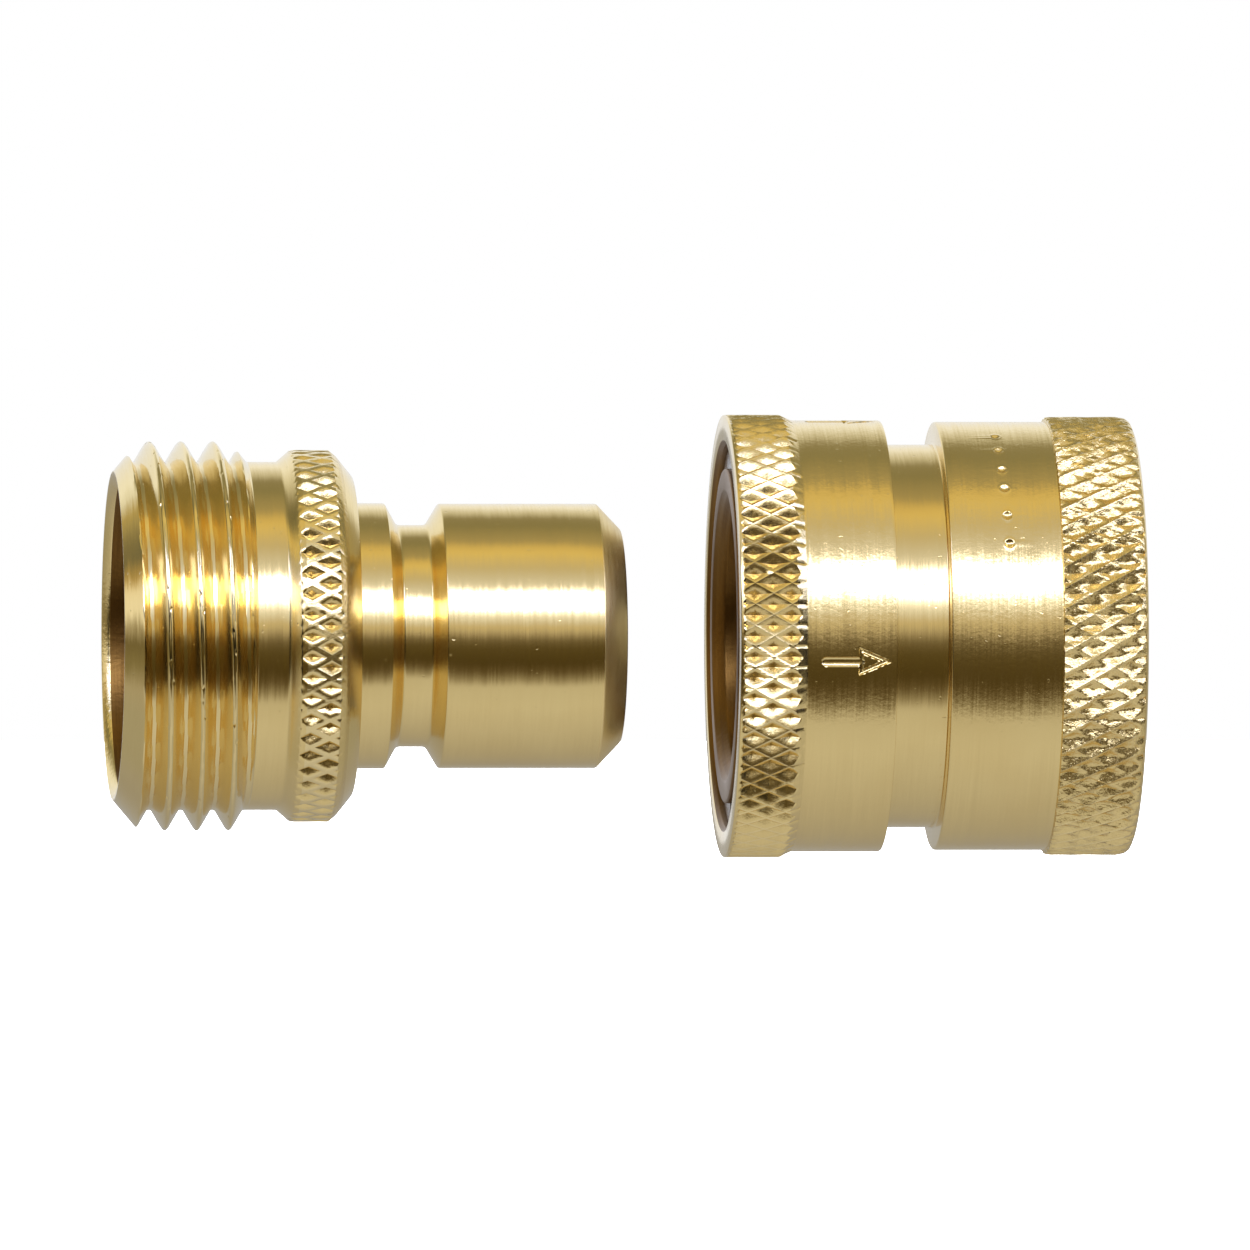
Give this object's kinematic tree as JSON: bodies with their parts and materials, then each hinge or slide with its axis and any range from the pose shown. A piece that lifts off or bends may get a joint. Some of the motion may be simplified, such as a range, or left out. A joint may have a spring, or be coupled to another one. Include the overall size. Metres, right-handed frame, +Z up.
{
  "type": "quick disconnect coupler",
  "caption": "Brass garden-hose quick coupler: threaded plug with lock groove, and ball-lock socket with a sprung release sleeve, shown apart.",
  "frame": {"origin": "on the coupler's axis, in the plane of the release sleeve's front edge, where the plug enters", "axes": "+X along the axis from the plug towards the socket's hose end, +Z up"},
  "size_m": [0.0707, 0.0306, 0.0306],
  "materials": {
    "brass": "turned, bright",
    "spring_steel": "drawn wire",
    "ball_steel": "polished",
    "seal_rubber": "moulded",
    "washer_rubber": "moulded"
  },
  "bodies": {
    "socket": {"socket_body": "brass", "retaining_ring": "spring_steel", "sleeve_spring": "spring_steel", "nose_seal": "seal_rubber", "hose_washer": "washer_rubber"},
    "plug": {"plug_body": "brass"},
    "sleeve": {"release_sleeve": "brass"},
    "ball_1": {"lock_ball_1": "ball_steel"},
    "ball_2": {"lock_ball_2": "ball_steel"},
    "ball_3": {"lock_ball_3": "ball_steel"},
    "ball_4": {"lock_ball_4": "ball_steel"},
    "ball_5": {"lock_ball_5": "ball_steel"},
    "ball_6": {"lock_ball_6": "ball_steel"},
    "ball_7": {"lock_ball_7": "ball_steel"},
    "ball_8": {"lock_ball_8": "ball_steel"}
  },
  "joints": [
    {"name": "plug_slide", "type": "slide", "parent": "socket", "child": "plug", "axis": [1, 0, 0], "range_m": [-0.03, 0.0108]},
    {"name": "sleeve_slide", "type": "slide", "parent": "socket", "child": "sleeve", "axis": [1, 0, 0], "range_m": [0, 0.0032], "deforming": ["sleeve_spring"]},
    {"name": "ball_1_slide", "type": "slide", "parent": "socket", "child": "ball_1", "axis": [0, 0, 1], "range_m": [0, 0.00135]},
    {"name": "ball_2_slide", "type": "slide", "parent": "socket", "child": "ball_2", "axis": [0, -0.7071, 0.7071], "range_m": [0, 0.00135]},
    {"name": "ball_3_slide", "type": "slide", "parent": "socket", "child": "ball_3", "axis": [0, -1, 0], "range_m": [0, 0.00135]},
    {"name": "ball_4_slide", "type": "slide", "parent": "socket", "child": "ball_4", "axis": [0, -0.7071, -0.7071], "range_m": [0, 0.00135]},
    {"name": "ball_5_slide", "type": "slide", "parent": "socket", "child": "ball_5", "axis": [0, 0, -1], "range_m": [0, 0.00135]},
    {"name": "ball_6_slide", "type": "slide", "parent": "socket", "child": "ball_6", "axis": [0, 0.7071, -0.7071], "range_m": [0, 0.00135]},
    {"name": "ball_7_slide", "type": "slide", "parent": "socket", "child": "ball_7", "axis": [0, 1, 0], "range_m": [0, 0.00135]},
    {"name": "ball_8_slide", "type": "slide", "parent": "socket", "child": "ball_8", "axis": [0, 0.7071, 0.7071], "range_m": [0, 0.00135]}
  ],
  "couplings": [
    {"joint": "ball_1_slide", "follows": "sleeve_slide", "ratio": 0.41875},
    {"joint": "ball_2_slide", "follows": "sleeve_slide", "ratio": 0.41875},
    {"joint": "ball_3_slide", "follows": "sleeve_slide", "ratio": 0.41875},
    {"joint": "ball_4_slide", "follows": "sleeve_slide", "ratio": 0.41875},
    {"joint": "ball_5_slide", "follows": "sleeve_slide", "ratio": 0.41875},
    {"joint": "ball_6_slide", "follows": "sleeve_slide", "ratio": 0.41875},
    {"joint": "ball_7_slide", "follows": "sleeve_slide", "ratio": 0.41875},
    {"joint": "ball_8_slide", "follows": "sleeve_slide", "ratio": 0.41875}
  ]
}
